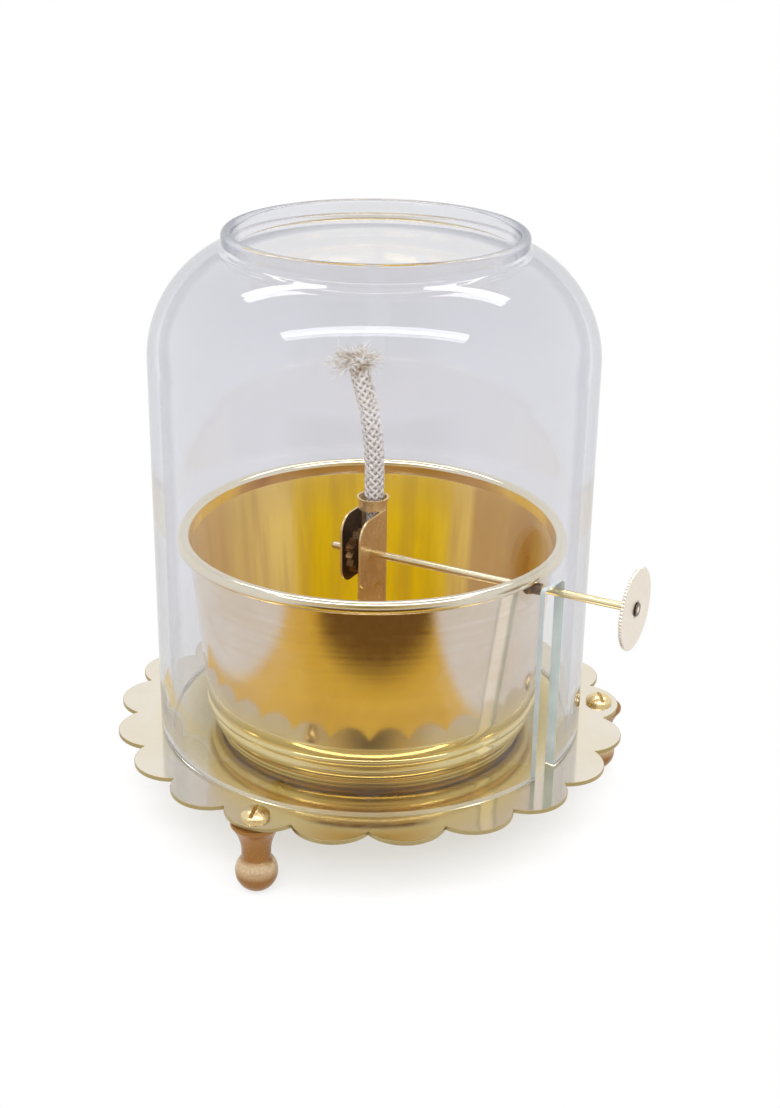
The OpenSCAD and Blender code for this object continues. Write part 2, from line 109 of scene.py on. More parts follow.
class Tree:
    """The node tree of one material or world while it is being built."""

    def __init__(self, name: str, world: bool = False) -> None:
        """Starts an empty material or world.

        Args:
            name: Its name.
            world: Whether it is the light all round.
        """
        self.owner = (bpy.data.worlds if world else bpy.data.materials).new(name)
        self.owner.use_nodes = True
        self.nodes = self.owner.node_tree.nodes
        self.links = self.owner.node_tree.links
        self.nodes.clear()
        self.output = self.add("OutputWorld" if world else "OutputMaterial")

    def add(self, kind: str, sockets: dict | None = None, **settings: str) -> Node:
        """Adds a node.

        Args:
            kind: The node's type, without its common first word.
            sockets: Values or links for its inputs, by name or number.
            settings: Values for its own properties.

        Returns:
            The new node.
        """
        node = self.nodes.new("ShaderNode" + kind)
        for key, value in settings.items():
            setattr(node, key, value)
        for key, value in (sockets or {}).items():
            if isinstance(value, Socket):
                self.links.new(value, node.inputs[key])
            else:
                node.inputs[key].default_value = value
        return node

    @cached_property
    def place(self) -> Socket:
        """The place on the lamp, in millimetres."""
        return self.stretched(self.add("TexCoord").outputs["Object"], (1000.0,) * 3)

    @cached_property
    def xyz(self) -> Sequence[Socket]:
        """The three measures of that place."""
        return self.add("SeparateXYZ", {0: self.place}).outputs

    @cached_property
    def rays(self) -> Sequence[Socket]:
        """What is known of the ray that meets the surface."""
        return self.add("LightPath").outputs

    def looked_at(self) -> Socket:
        """Returns 1 for what the camera sees, straight, in metal or through glass."""
        direct = self.maths("MAXIMUM", self.rays["Is Camera Ray"], self.rays["Is Glossy Ray"])
        return self.maths("MAXIMUM", direct, self.rays["Is Transmission Ray"])

    def stretched(self, place: Socket, by: Point) -> Socket:
        """Returns a place with its three measures multiplied."""
        return self.add("VectorMath", {0: place, 1: by}, operation="MULTIPLY").outputs[0]

    def measure(self, operation: str, other: Sequence[float] = (0.0, 0.0, 0.0)) -> Socket:
        """Returns one number from the place and another point or direction."""
        return self.add("VectorMath", {0: self.place, 1: other}, operation=operation).outputs["Value"]

    def maths(self, operation: str, a: Number, b: Number = 0.0) -> Socket:
        """Returns the result of one sum of numbers or links."""
        return self.add("Math", {0: a, 1: b}, operation=operation).outputs[0]

    def times(self, a: Number, b: Number) -> Socket:
        """Returns the product of two numbers or links."""
        return self.maths("MULTIPLY", a, b)

    def reach(self, a: Socket, b: Socket) -> Socket:
        """Returns the distance from an axis, from the two measures across it."""
        return self.maths("SQRT", self.maths("ADD", self.times(a, a), self.times(b, b)))

    def turn(self, across: Socket, along: Socket) -> Socket:
        """Returns an angle in degrees, from the measures across its zero line and along it."""
        return self.maths("DEGREES", self.maths("ARCTAN2", across, along))

    def noise(self, scale: float, detail: float, where: Socket | None = None) -> Socket:
        """Returns soft noise from 0 to 1, with so many features for each millimetre."""
        sockets = {"Vector": where or self.place, "Scale": scale, "Detail": detail}
        return self.add("TexNoise", sockets).outputs["Fac"]

    def spread(self, value: Socket, low: float, high: float, start: float = 0.3,
               end: float = 0.7) -> Socket:
        """Returns a value moved from one range to another, and held inside it."""
        sockets = {0: value, 1: start, 2: end, 3: low, 4: high}
        return self.add("MapRange", sockets).outputs[0]

    def fade(self, value: Socket, none: float, full: float) -> Socket:
        """Returns a share that is 0 at one value and 1 at another."""
        return self.spread(value, 0.0, 1.0, none, full)

    def blend(self, share: Socket, first: Tone, second: Tone) -> Socket:
        """Returns a colour between two others, with so much of the second."""
        a, b = [c if isinstance(c, Socket) else (*c, 1.0) for c in (first, second)]
        return self.add("Mix", {0: share, 6: a, 7: b}, data_type="RGBA").outputs[2]

    def relief(self, height: Socket, microns: float) -> Socket:
        """Returns a normal bent by a height from 0 to 1 that is so many microns deep."""
        return self.add("Bump", {"Height": height, "Distance": microns * 1e-6, "Strength": 1.0}).outputs[0]

    def close(self, shader: Node) -> Material | bpy.types.World:
        """Joins the last shader to the output and returns what the tree belongs to."""
        self.links.new(shader.outputs[0], self.output.inputs["Surface"])
        return self.owner


@dataclass(frozen=True)
class PaintedLight:
    """A tone painted over part of a surface, which fades out between two measures: a painted reflection,
    highlight or shade.
    """

    along: Along
    full: float
    none: float
    tone: Colour

    def lay(self, tree: Tree, base: Socket) -> Socket:
        """Returns a colour with the zone's painted tone laid over it.

        Args:
            tree: The tree that it is made in.
            base: The colour outside the zone.
        """
        x, y, z = tree.xyz
        if self.along is Along.HEIGHT:
            measure = z
        elif self.along is Along.TURN:
            measure = tree.turn(y, x)
        else:
            measure = tree.reach(x, y)
        return tree.blend(tree.fade(measure, self.none, self.full), base, self.tone)


@dataclass(frozen=True)
class Brass:
    """A brass finish: its tones, its gloss, the marks of its making, and any painted reflections, highlights
    and shade.
    """

    name: str
    slot: str
    tint: Colour
    shade: Colour
    roughness: float
    grain: Grain
    relief: float
    stain: float = 0.5
    spread: float = 0.10
    anisotropy: float = 0.0
    # whether the shadow in the gap round the rivet is painted on
    painted_rivet_shadow: bool = False
    metallic: float = 1.0
    # painted reflections, highlights and shade, laid over the tone
    painted_light: tuple[PaintedLight, ...] = ()

    LINES = {Grain.DRAWN: (3.5, (0.05, 1.0, 1.0)), Grain.ROLLED: (3.5, (1.0, 0.12, 1.0)),
             Grain.CAST: (1.6, (1.0, 1.0, 1.0))}
    # painted shadow round the rivet: its colour, and how far out along the spindle it begins
    RIVET_SHADOW_TONE = (0.07, 0.05, 0.04)
    RIVET_SHADOW_FROM_X = 80.0

    def _lines(self, tree: Tree) -> Socket:
        """Returns the fine marks of the working as a height; on the inside wall, the upright painted
        reflection streaks.

        Args:
            tree: The tree that they are made in.
        """
        if self.grain in self.LINES:
            scale, stretch = self.LINES[self.grain]
            return tree.noise(scale, 5.0, tree.stretched(tree.place, stretch))
        x, y, z = tree.xyz
        turn = tree.maths("ARCTAN2", y, x)
        if self.grain is Grain.SPUN:
            where = tree.add("CombineXYZ", {0: tree.reach(x, y), 1: tree.times(turn, 0.3), 2: z})
            return tree.noise(0.7, 4.0, where.outputs[0])
        # upright streaks: painted reflection in the colour, which also vary the gloss and relief
        where = tree.add("CombineXYZ", {0: tree.times(turn, 9.0), 2: tree.times(z, 0.02)})
        return tree.noise(1.0, 4.0, where.outputs[0])

    def _with_rivet_shadow(self, tree: Tree, tone: Socket) -> Socket:
        """Returns the tone with a painted shadow ring round the spindle's riveted end, for the shade in the
        gap round the rivet.

        Args:
            tree: The tree that it is made in.
            tone: The colour outside the painted shadow.
        """
        x, y, z = [tree.maths("SUBTRACT", m, middle) for m, middle in zip(tree.xyz, SPINDLE)]
        away = tree.reach(y, z)
        share = tree.times(tree.fade(away, 0.6, 1.0), tree.spread(away, 0.95, 0.0, 1.8, 2.6))
        share = tree.times(share, tree.maths("GREATER_THAN", x, self.RIVET_SHADOW_FROM_X))
        return tree.blend(share, tone, self.RIVET_SHADOW_TONE)

    def material(self) -> Material:
        """Returns the finish as a material."""
        tree = Tree(self.name)
        lines = self._lines(tree)
        cloud = tree.noise(0.07, 5.0)
        tone = tree.blend(tree.spread(cloud, 0.0, self.stain), self.tint, self.shade)
        # lays the painted reflections, highlights and shade
        for zone in self.painted_light:
            tone = zone.lay(tree, tone)
        tone = tree.blend(tree.spread(lines, 0.0, self.stain * 0.5, 0.42, 0.66), tone, self.shade)
        # paints the shadow in the gap round the rivet
        if self.painted_rivet_shadow:
            tone = self._with_rivet_shadow(tree, tone)
        worn = tree.noise(0.35, 4.0)
        gloss = tree.spread(worn, self.roughness, self.roughness + self.spread)
        gloss = tree.maths("ADD", gloss, tree.spread(lines, 0.0, self.spread * 0.7))
        shader = tree.add("BsdfPrincipled", {
            "Base Color": tone, "Metallic": self.metallic, "Roughness": gloss,
            "Normal": tree.relief(lines, self.relief)})
        if self.anisotropy:
            shader.inputs["Anisotropic"].default_value = self.anisotropy
            tangent = tree.add("Tangent", direction_type="RADIAL", axis="Z").outputs[0]
            tree.links.new(tangent, shader.inputs["Tangent"])
        return tree.close(shader)


@dataclass(frozen=True)
class ClearGlass:
    """Blown glass, faintly wavy, with painted shade at its edges, along its foot and over its upper shoulder.
    """

    name: str = "clear_glass"
    slot: str = "clear_glass"
    tint: Colour = (0.825, 0.828, 0.86)
    index: float = 1.45
    # the tone darkens towards the edges as seen: partly for the longer path through the glass, partly painted
    # dark lines at the edges
    wall: Colour = (0.47, 0.48, 0.53)
    outline: Colour = (0.03, 0.04, 0.055)
    # painted shade: the glass is tinted darker over its upper shoulder
    shoulder_shade: Colour = (0.775, 0.78, 0.81)
    shoulder_shade_z: Span = (138.0, 152.0)
    # painted shade: a dark line along the glass's foot, where it stands on the plate, strongest where the
    # wall is seen at a slant
    foot_z: Span = (23.0, 22.1)
    foot_shade_at: Span = (0.35, 0.65)
    wall_at: Span = (0.66, 0.74)
    outline_at: Span = (0.76, 1.0)

    def material(self) -> Material:
        """Returns the finish as a material that lets light from the lamps through."""
        tree = Tree(self.name)
        wave = tree.noise(0.045, 2.0)
        film = tree.spread(tree.noise(0.12, 5.0), 0.0, 0.012)
        facing = tree.add("LayerWeight").outputs["Facing"]
        height = tree.xyz[2]
        # painted shade over the upper shoulder
        tone = tree.blend(tree.fade(height, *self.shoulder_shade_z), self.tint, self.shoulder_shade)
        # darker towards the edges as seen, down to painted dark lines at the silhouette
        tone = tree.blend(tree.fade(facing, *self.wall_at), tone, self.wall)
        tone = tree.blend(tree.fade(facing, *self.outline_at), tone, self.outline)
        # painted shade along the foot
        foot = tree.times(tree.fade(height, *self.foot_z), tree.spread(facing, 0.0, 0.9, *self.foot_shade_at))
        tone = tree.blend(foot, tone, self.outline)
        shader = tree.add("BsdfPrincipled", {
            "Base Color": tone, "Roughness": film, "IOR": self.index, "Transmission Weight": 1.0,
            "Normal": tree.relief(wave, 20.0)})
        through = tree.add("BsdfTransparent", {"Color": (0.90, 0.90, 0.92, 1.0)})
        caught = tree.maths("MAXIMUM", tree.maths("GREATER_THAN", tree.rays["Glossy Depth"], 1.5),
                            tree.maths("GREATER_THAN", tree.rays["Diffuse Depth"], 0.5))
        freed = tree.maths("MAXIMUM", tree.rays["Is Shadow Ray"], caught)
        return tree.close(tree.add("MixShader", {0: freed, 1: shader.outputs[0], 2: through.outputs[0]}))


@dataclass(frozen=True)
class Dull:
    """A dull finish: two tones in soft clouds over a fine relief."""

    name: str
    slot: str
    tint: Colour
    pale: Colour
    roughness: float
    cloud: float
    share: float
    grit: float
    relief: float
    metallic: float = 0.0
    clear: float = 0.0
    index: float = 1.5

    def material(self) -> Material:
        """Returns the finish as a material."""
        tree = Tree(self.name)
        cloud = tree.spread(tree.noise(self.cloud, 4.0), 0.0, self.share)
        grit = tree.noise(self.grit, 4.0)
        return tree.close(tree.add("BsdfPrincipled", {
            "Base Color": tree.blend(cloud, self.tint, self.pale), "Roughness": self.roughness,
            "Metallic": self.metallic, "IOR": self.index, "Transmission Weight": self.clear,
            "Normal": tree.relief(grit, self.relief)}))


@dataclass(frozen=True)
class Cotton:
    """Plaited cotton yarn, with dark specks painted for the shade between its strands."""

    name: str = "cotton"
    slot: str = "cotton"
    tint: Colour = (0.86, 0.83, 0.78)
    shade: Colour = (0.36, 0.31, 0.25)
    singe: Colour = (0.40, 0.28, 0.14)
    singe_z: Span = (113.0, 125.0)

    def material(self) -> Material:
        """Returns the finish as a material."""
        tree = Tree(self.name)
        fibre = tree.noise(5.0, 5.0)
        # dark specks painted for the shade between the strands
        painted_speck = tree.spread(tree.noise(1.5, 4.0), 0.0, 0.75, 0.52, 0.70)
        patchy = tree.spread(tree.noise(0.5, 3.0), 0.0, 0.8, 0.44, 0.58)
        patchy = tree.times(patchy, tree.fade(tree.xyz[2], *self.singe_z))
        tone = tree.blend(patchy, tree.blend(painted_speck, self.tint, self.shade), self.singe)
        shader = tree.add("BsdfPrincipled", {
            "Base Color": tone, "Roughness": 0.95, "Specular IOR Level": 0.2, "Sheen Weight": 0.25,
            "Normal": tree.relief(fibre, 160.0)})
        return tree.close(shader)


Finish = Brass | ClearGlass | Dull | Cotton

# Painted reflection of the bowl and painted shade round its foot: the plate turns golden near the bowl and
# darker under it.
PLATE = Brass("plate_brass", "plate_brass", (0.82, 0.765, 0.665), (0.74, 0.63, 0.43), 0.05, Grain.ROLLED,
              relief=0.35, stain=0.3, spread=0.05,
              painted_light=(PaintedLight(Along.REACH, 54.0, 63.0, (0.82, 0.70, 0.41)),
                     PaintedLight(Along.REACH, 47.0, 58.0, (0.52, 0.43, 0.19))))
# Painted reflection and highlight: the bowl is more golden over its lower part and paler along its rolled
# rim.
BOWL = Brass("bowl_brass", "bowl_brass", (0.93, 0.82, 0.67), (0.76, 0.58, 0.34), 0.08, Grain.SPUN,
             relief=14.0, stain=0.4, spread=0.05, anisotropy=0.5,
             painted_light=(PaintedLight(Along.HEIGHT, 33.0, 44.0, (0.92, 0.77, 0.36)),
                    PaintedLight(Along.HEIGHT, 78.0, 75.5, (0.96, 0.88, 0.66))))
# Painted reflections and shade on the inside wall: upright bands round it, from dark brown through vivid
# yellow to tan, and browner towards the top.
INSIDE = Brass("bowl_inside", "bowl_brass", (0.68, 0.43, 0.09), (0.56, 0.33, 0.05), 0.26, Grain.REFLECTION_STREAKS,
               relief=0.6, stain=1.0, spread=0.06, metallic=0.12,
               painted_light=(PaintedLight(Along.TURN, 53.0, 63.0, (0.42, 0.18, 0.01)),
                      PaintedLight(Along.TURN, 36.0, 48.0, (0.68, 0.43, 0.09)),
                      PaintedLight(Along.TURN, 81.0, 78.0, (0.94, 0.70, 0.11)),
                      PaintedLight(Along.TURN, 89.5, 87.0, (1.0, 0.74, 0.0)),
                      PaintedLight(Along.TURN, 149.0, 146.0, (1.0, 0.79, 0.17)),
                      PaintedLight(Along.TURN, 190.0, 154.0, (0.66, 0.45, 0.10)),
                      PaintedLight(Along.HEIGHT, 94.0, 62.0, (0.62, 0.40, 0.14))))
# Painted highlight and shade: a light band round the upper half of the ball, and darker below it.
LEG = Brass("leg_brass", "leg_brass", (0.34, 0.16, 0.045), (0.22, 0.09, 0.02), 0.16, Grain.CAST,
            relief=9.0, stain=0.45, metallic=0.8,
            painted_light=(PaintedLight(Along.HEIGHT, 8.4, 9.6, (0.62, 0.46, 0.28)),
                   PaintedLight(Along.HEIGHT, 4.6, 7.2, (0.28, 0.13, 0.04))))
# Painted shade on the plate's upright edges: a darker, duller brass than its top.
EDGE_SHADE = Brass("plate_edge_shade", "plate_brass", (0.46, 0.37, 0.18), (0.32, 0.23, 0.09), 0.28, Grain.CAST,
             relief=4.0)
SCREW = Brass("screw_brass", "screw_brass", (0.86, 0.72, 0.42), (0.60, 0.42, 0.18), 0.16, Grain.CAST,
              relief=8.0)
TUBE = Brass("tube_brass", "tube_brass", (0.98, 0.79, 0.44), (0.56, 0.34, 0.14), 0.16, Grain.ROLLED,
             relief=2.0, metallic=0.6)
# Dark brass of the wheel and the bush; also laid as painted shade on the left cheek's inner face.
DARK = Brass("dark_brass", "dark_brass", (0.30, 0.17, 0.07), (0.09, 0.045, 0.02), 0.28, Grain.CAST,
             relief=14.0, stain=0.9, spread=0.15)
ROD = Brass("spindle_brass", "spindle_brass", (0.90, 0.80, 0.54), (0.66, 0.48, 0.22), 0.14, Grain.DRAWN,
            relief=2.0, stain=0.4, spread=0.08, painted_rivet_shadow=True)
KNOB = Brass("knob_brass", "knob_brass", (0.85, 0.79, 0.70), (0.76, 0.66, 0.52), 0.26, Grain.ROLLED,
             relief=3.0, stain=0.4, painted_rivet_shadow=True)
GLASS = ClearGlass()
# the lip's edges take stronger painted dark lines
LIP = ClearGlass("lip_glass", wall=(0.20, 0.23, 0.28), wall_at=(0.42, 0.74), outline_at=(0.62, 0.90))
EDGE = Dull("ground_glass", "clear_glass", (0.42, 0.49, 0.49), (0.62, 0.68, 0.66), 0.32,
            cloud=0.15, share=0.6, grit=2.2, relief=25.0, clear=0.15, index=1.47)
FOOT = replace(EDGE, name="glass_foot", tint=(0.58, 0.56, 0.45), clear=0.85)
COTTON = Cotton()
# a paler copy of the cotton for the loose fibres: painted light, so the thin fibres read bright
FLUFF = Cotton("cotton_fluff", tint=(0.96, 0.94, 0.90), shade=(0.72, 0.66, 0.58))
# a darker copy of the cotton for the core seen between the strands: painted shade in the gaps of the plait
CORE = Cotton("cotton_core", tint=(0.72, 0.68, 0.62), shade=(0.42, 0.36, 0.30))
SOLDER = Dull("solder", "dark_brass", (0.07, 0.035, 0.012), (0.34, 0.22, 0.10), 0.42,
              cloud=1.2, share=1.0, grit=1.2, relief=120.0, metallic=0.6)


# Meshes


def added(name: str, data: bpy.types.ID) -> Object:
    """Returns a new object of the scene.

    Args:
        name: Its name.
        data: Its mesh, light or camera.
    """
    obj = bpy.data.objects.new(name, data)
    bpy.context.scene.collection.objects.link(obj)
    return obj


class Part:
    """A sub-assembly, which makes its named pieces, dresses them and puts them on their bodies."""

    MADE: dict[str, Material] = {}

    def make(self) -> None:
        """Makes the sub-assembly's pieces."""
        raise NotImplementedError

    def material(self, finish: Finish) -> Material:
        """Returns the material of a finish, made once."""
        if finish.name not in self.MADE:
            self.MADE[finish.name] = finish.material()
        return self.MADE[finish.name]

    def piece(self, name: str, bm: Mesh, finishes: Sequence[Finish], body: Body | None,
              nodes: Sequence[str] = (), sharp: float = 35.0) -> Object:
        """Makes one piece of the lamp.

        Args:
            name: The piece's name.
            bm: Its mesh, in metres, which is used up.
            finishes: Its finishes, in the order of the mesh's material numbers.
            body: The body that it rides on, or none.
            nodes: The nodes that it stands for.
            sharp: Edges with a greater angle than this, in degrees, stay crisp.

        Returns:
            The new object.
        """
        mesh = bpy.data.meshes.new(name)
        bm.to_mesh(mesh)
        bm.free()
        mesh.shade_smooth()
        mesh.set_sharp_from_angle(angle=radians(sharp))
        for finish in finishes:
            mesh.materials.append(self.material(finish))
        obj = added(name, mesh)
        if body is not None:
            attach(obj, body.value)
        if nodes:
            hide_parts(*nodes)
        LOG.info("%s: %d faces", name, len(mesh.polygons))
        return obj

    def eased(self, node: str, finish: Finish, body: Body, width: float,
              edge: Finish | None = None) -> Object:
        """Makes a node's shape again with its sharp edges eased, as by a file and polish.

        Args:
            node: The node that the piece stands for.
            finish: Its finish.
            body: The body that it rides on.
            width: Width of the eased edge.
            edge: Finish of its upright faces, if they have their own.

        Returns:
            The new object.
        """
        bm = bmesh.new()
        bm.from_mesh(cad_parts[node].data)
        bmesh.ops.remove_doubles(bm, verts=bm.verts, dist=2e-6)
        bmesh.ops.dissolve_limit(bm, angle_limit=radians(0.5), verts=bm.verts, edges=bm.edges)
        bm.normal_update()
        for face in bm.faces:
            face.material_index = int(edge is not None and abs(face.normal.z) < 0.5)
        obj = self.piece(node + "_eased", bm, [finish, edge] if edge else [finish], body, [node])
        ease = obj.modifiers.new("eased edges", "BEVEL")
        ease.width = width * MM
        ease.segments = 2
        ease.limit_method = "ANGLE"
        ease.angle_limit = radians(38.0)
        ease.harden_normals = True
        ease.material = 1 if edge else -1
        return obj


def grid_faces(bm: Mesh, grid: Grid, closed: bool = False, number: int = 0) -> None:
    """Adds a sheet of four-sided faces.

    Args:
        bm: The mesh that it is added to.
        grid: Rows of points, all of one length.
        closed: Whether each row runs round to its start.
        number: Material number of the faces.
    """
    rows = [[bm.verts.new(p) for p in row] for row in grid]
    count = len(rows[0])
    for low, high in zip(rows, rows[1:]):
        for i in range(count if closed else count - 1):
            j = (i + 1) % count
            face = bm.faces.new((low[i], low[j], high[j], high[i]))
            face.material_index = number


def seal(bm: Mesh, gap: float = 1e-6) -> None:
    """Joins the sheets of a mesh where they meet and turns all faces outwards.

    Args:
        bm: The mesh.
        gap: Points nearer than this become one.
    """
    bmesh.ops.remove_doubles(bm, verts=bm.verts, dist=gap)
    bmesh.ops.dissolve_degenerate(bm, edges=bm.edges, dist=gap / 10)
    bmesh.ops.recalc_face_normals(bm, faces=bm.faces)


def between(start: float, end: float, steps: int) -> list[float]:
    """Returns evenly spaced numbers from one to another, with both."""
    return [start + (end - start) * i / steps for i in range(steps + 1)]


def arc(centre: Span, radius: float, start: float, end: float, steps: int) -> Profile:
    """Returns points on an arc of a half section, at angles in degrees from outward to up."""
    turns = [radians(t) for t in between(start, end, steps)]
    return [(centre[0] + radius * cos(t), centre[1] + radius * sin(t)) for t in turns]


def full_turn(steps: int) -> list[float]:
    """Returns even angles round a full turn."""
    return between(0.0, 2 * pi, steps)[:-1]


def ring(radius: float, turns: Sequence[float], z: float,
         middle: Sequence[float] = (0, 0, 0)) -> list[Vector]:
    """Returns points round an upright axis, in metres."""
    foot = Vector(middle)
    return [(foot + Vector((radius * cos(t), radius * sin(t), z))) * MM for t in turns]


def outward(turn: float, sides: tuple[Vector, Vector]) -> Vector:
    """Returns the direction away from a line, at an angle between its two side directions."""
    return cos(turn) * sides[0] + sin(turn) * sides[1]


def turned(profile: Profile, sides: int, middle: Sequence[float] = (0, 0, 0)) -> Mesh:
    """Returns a turned shape.

    Args:
        profile: Its half section, as radius and height, in millimetres.
        sides: Number of sides.
        middle: The foot of its axis.
    """
    bm = bmesh.new()
    turns = full_turn(sides)
    grid_faces(bm, [ring(r, turns, z, middle) for r, z in profile], closed=True)
    seal(bm)
    return bm


def curve_through(points: Sequence[Point], steps: int) -> list[Vector]:
    """Returns a smooth curve through given points.

    Args:
        points: The points.
        steps: Number of steps between two of them.
    """
    knots = [Vector(p) for p in points]
    line: list[Vector] = []
    for i in range(len(knots) - 1):
        a, b = knots[max(0, i - 1)], knots[i]
        c, d = knots[i + 1], knots[min(len(knots) - 1, i + 2)]
        for s in range(steps):
            t = s / steps
            line.append((2 * b + (c - a) * t + (2 * a - 5 * b + 4 * c - d) * t * t
                         + (3 * b - a - 3 * c + d) * t ** 3) / 2)
    line.append(knots[-1])
    return line


def evenly(line: Sequence[Vector], step: float) -> list[Vector]:
    """Returns points spaced evenly along a line.

    Args:
        line: The line.
        step: Distance between two points.
    """
    lengths = [0.0]
    for a, b in zip(line, line[1:]):
        lengths.append(lengths[-1] + (b - a).length)
    count = max(2, round(lengths[-1] / step))
    found: list[Vector] = []
    i = 0
    for k in range(count + 1):
        goal = lengths[-1] * k / count
        while i < len(line) - 2 and lengths[i + 1] < goal:
            i += 1
        span = lengths[i + 1] - lengths[i]
        found.append(line[i].lerp(line[i + 1], (goal - lengths[i]) / span if span else 0.0))
    return found


def frames_along(line: Sequence[Vector]) -> list[tuple[Vector, Vector]]:
    """Returns two side directions at each point of a line, carried along it without twisting."""
    side = Vector((1.0, 0.0, 0.0))
    found: list[tuple[Vector, Vector]] = []
    for i in range(len(line)):
        ahead = (line[min(len(line) - 1, i + 1)] - line[max(0, i - 1)]).normalized()
        if abs(side.dot(ahead)) > 0.95:
            side = ahead.orthogonal()
        side = (side - ahead * side.dot(ahead)).normalized()
        found.append((side, ahead.cross(side)))
    return found


def thread(bm: Mesh, line: Sequence[Vector], radii: Sequence[float], sides: int) -> None:
    """Adds a closed thread along a line.

    Args:
        bm: The mesh that it is added to.
        line: Its middle line, in millimetres.
        radii: Its radius at each point.
        sides: Number of sides.
    """
    rows: Grid = []
    for point, around, radius in zip(line, frames_along(line), radii):
        rows.append([(point + radius * outward(t, around)) * MM for t in full_turn(sides)])
    start = len(bm.verts)
    grid_faces(bm, rows, closed=True)
    bm.verts.ensure_lookup_table()
    bm.faces.new([bm.verts[start + k] for k in reversed(range(sides))])
    last = len(bm.verts) - sides
    bm.faces.new([bm.verts[last + k] for k in range(sides)])


# Sub-assemblies


@dataclass
class Wick(Part):
    """The plaited wick: its tail in the bowl, its run up the tube and its frayed top."""

    thick: float = 5.0
    plump: float = 1.12
    squeezed: float = 4.4
    set_back: float = 0.7
    tail_z: float = 25.6
    mouth_z: float = 87.7
    tube_foot_z: float = 39.1
    feed_z: float = 57.6
    slack: float = 10.0
    pitch: float = 15.0
    strands: int = 7
    strand: float = 0.175
    core: float = 0.70
    layer: float = 0.80
    crossing: float = 0.075
    bare: float = 11.0
    skin: float = 2.1
    fuzz: int = 240
    fuzz_length: Span = (0.8, 2.2)
    fuzz_radius: float = 0.045
    tuft_sink: Span = (0.5, 3.0)
    tuft_radius: float = 0.13
    curl: float = 0.16
    droop: float = 0.07
    seed: int = 11

    TAIL = [(-26, 12, 2), (-29, 0, 2), (-26, -13, 2), (-18, -23, 2), (-5, -29, 2), (10, -27, 2), (22, -19, 2),
            (29, -6, 2), (29, 8, 2), (23, 20, 2), (12, 25, 2), (3, 17, 2), (0.5, 10, 2), (0, 5.5, 3.2),
            (0, 2, 7), (0, 0.3, 12), (0, 0, 16), (0, 0, 22)]
    STANDING = [(0, 0, -2), (0, 0, 9), (-0.5, -0.2, 17), (-1.6, -0.8, 25), (-3.2, -1.7, 33), (-4.6, -2.5, 40)]
    TUFTS = [(170, 0.0, 0.60, (3.0, 5.5)), (120, 1.0, 0.42, (4.5, 8.5)), (100, -1.0, 0.40, (4.0, 7.0))]
    LEFT = Vector((-0.885, -0.466, 0.0))

    def route(self) -> list[Vector]:
        """Returns the wick's middle line from the end of its tail to its top."""
        points = [(x, y + self.set_back, z + self.tail_z) for x, y, z in self.TAIL]
        points += [(x, y + self.set_back, z + self.mouth_z) for x, y, z in self.STANDING]
        return evenly(curve_through(points, 12), 0.5)

    def radius(self, point: Vector) -> float:
        """Returns the wick's radius at a point of its middle line."""
        if self.tube_foot_z < point.z < self.mouth_z:
            return self.squeezed / 2
        return self.thick / 2 * (self.plump if point.z > self.mouth_z else 1.0)

    def plait(self, line: Sequence[Vector]) -> Mesh:
        """Returns the plait: two sets of strands that pass over and under each other, round a core.

        Args:
            line: The wick's middle line.
        """
        bm = bmesh.new()
        step = (line[1] - line[0]).length
        radii = [self.radius(p) for p in line]
        thread(bm, line[::3], [r * self.core for r in radii[::3]], 10)
        for face in bm.faces:
            face.material_index = 1
        rows = list(zip(line, frames_along(line), radii))
        for way in (1, -1):
            for first in full_turn(self.strands):
                path: list[Vector] = []
                for i, (point, sides, radius) in enumerate(rows):
                    turn = 2 * pi * i * step / self.pitch
                    lift = way * cos(self.strands * turn)
                    reach = radius * (self.layer + self.crossing * lift)
                    path.append(point + reach * outward(way * turn + first, sides))
                thread(bm, path, [r * self.strand for r in radii], 5)
        return bm

    def fray(self, line: Sequence[Vector]) -> Mesh:
        """Returns the loose fibres at the wick's top and the few along its sides.

        Args:
            line: The wick's middle line.
        """
        chance = random.Random(self.seed)
        bm = bmesh.new()
        ahead = (line[-1] - line[-6]).normalized()
        u = ahead.orthogonal().normalized()
        sides = (u, ahead.cross(u))
        for count, lean, wide, lengths in self.TUFTS:
            for _ in range(count):
                turn = chance.uniform(0, 2 * pi)
                out = sqrt(chance.random()) * self.skin
                start = line[-1] - ahead * chance.uniform(*self.tuft_sink) + outward(turn, sides) * out
                aim = ahead * (1.0 - 0.55 * abs(lean)) + self.LEFT * lean * 1.2 + self._stray(chance, wide)
                length = chance.uniform(*lengths)
                self._fibre(bm, chance, start, aim.normalized(), length, self.tuft_radius)
        visible = [p for p in line if p.z > self.mouth_z + self.bare]
        for _ in range(self.fuzz):
            point = chance.choice(visible)
            side = outward(chance.uniform(0, 2 * pi), sides)
            aim = (side * 0.8 + ahead * chance.uniform(-0.8, 0.8)).normalized()
            length = chance.uniform(*self.fuzz_length)
            self._fibre(bm, chance, point + side * self.skin, aim, length, self.fuzz_radius)
        return bm

    @staticmethod
    def _stray(chance: random.Random, wide: float) -> Vector:
        """Returns a small step to a random side."""
        return Vector([chance.gauss(0, wide) for _ in range(3)])

    def _fibre(self, bm: Mesh, chance: random.Random, start: Vector, aim: Vector, length: float,
               radius: float) -> None:
        """Adds one fibre that bends and droops.

        Args:
            bm: The mesh that it is added to.
            chance: Source of its bends.
            start: Where it leaves the wick.
            aim: Its first direction.
            length: Its length.
            radius: Its radius where it starts.
        """
        line = [start]
        steps = 6
        for _ in range(steps):
            aim = (aim + self._stray(chance, self.curl) + Vector((0, 0, -self.droop))).normalized()
            line.append(line[-1] + aim * length / steps)
        thread(bm, line, [radius * (1 - 0.11 * i) for i in range(steps + 1)], 4)

    def make(self) -> None:
        """Makes the wick's plait and its frayed fibres."""
        line = self.route()
        cord = self.piece("wick_plait", self.plait(line), [COTTON, CORE], None, ["wick", "wick_tail"], 80)
        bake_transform(cord)
        fray = self.piece("wick_fray", self.fray(line), [FLUFF], Body.WICK, (), 80)


